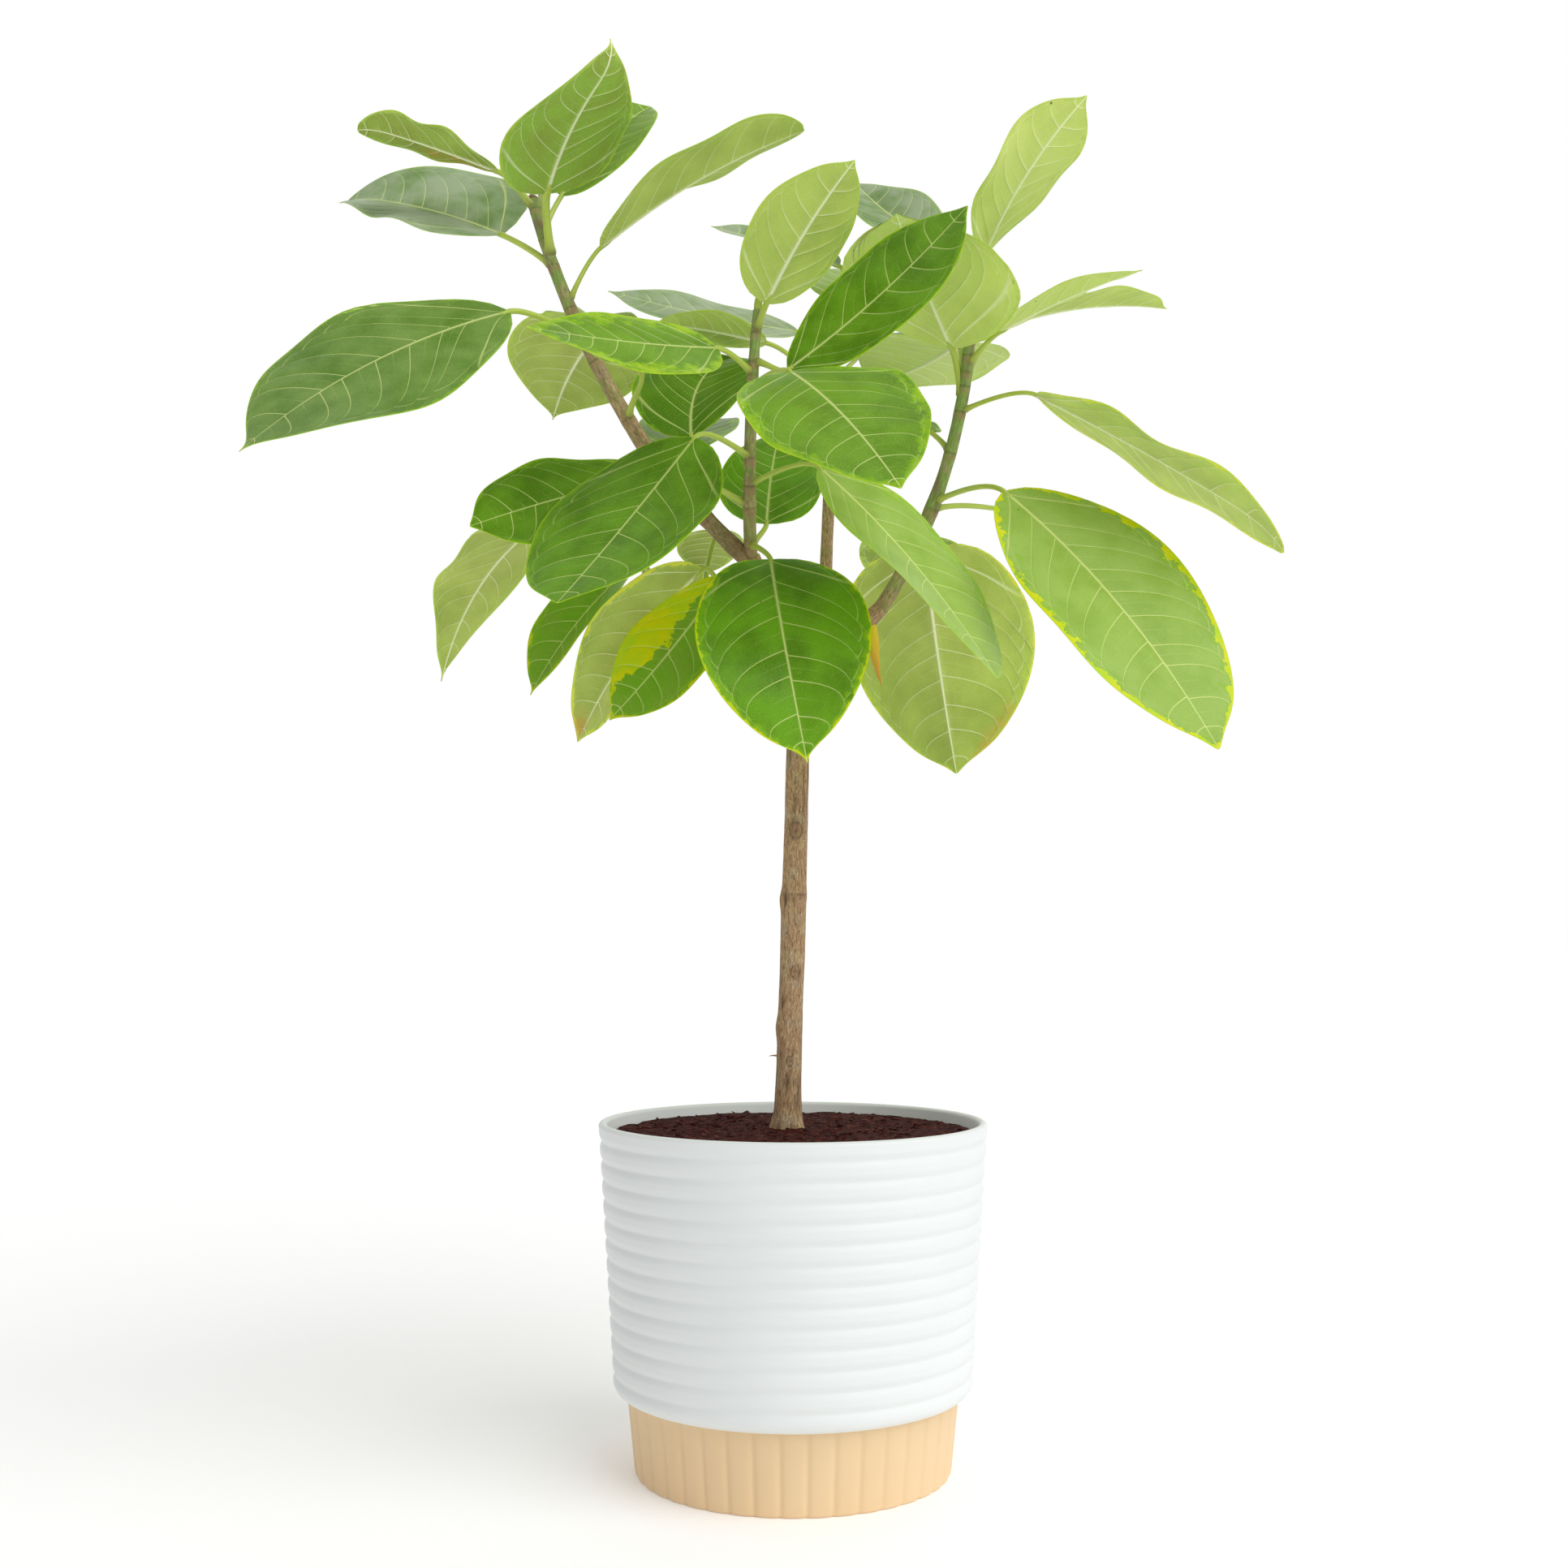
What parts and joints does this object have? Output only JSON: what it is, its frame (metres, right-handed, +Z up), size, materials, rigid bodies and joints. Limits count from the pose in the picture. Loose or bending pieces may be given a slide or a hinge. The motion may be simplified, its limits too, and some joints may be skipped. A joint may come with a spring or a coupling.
{
  "type": "potted ficus",
  "caption": "Potted ficus tree: slim trunk that forks into boughs, large variegated leaves, ribbed round planter on a fluted base.",
  "frame": {"origin": "centre of the flat underside of the planter's base", "axes": "+Z up, -Y towards the side that the picture shows, +X to the right seen from there"},
  "size_m": [0.6439, 0.5155, 0.9592],
  "materials": {
    "white_planter": "matt",
    "sand_base": "satin",
    "soil": "moist and crumbly",
    "bark": "rough",
    "leaf": "waxy on the upper side, matt below"
  },
  "bodies": {
    "root": {"planter": "white_planter", "planter_base": "sand_base", "soil": "soil", "trunk": "bark", "front_bough": "bark", "left_bough": "bark", "back_bough": "bark", "right_bough": "bark", "left_foliage": "leaf", "centre_foliage": "leaf", "right_foliage": "leaf", "back_foliage": "leaf", "low_foliage": "leaf"}
  },
  "joints": []
}
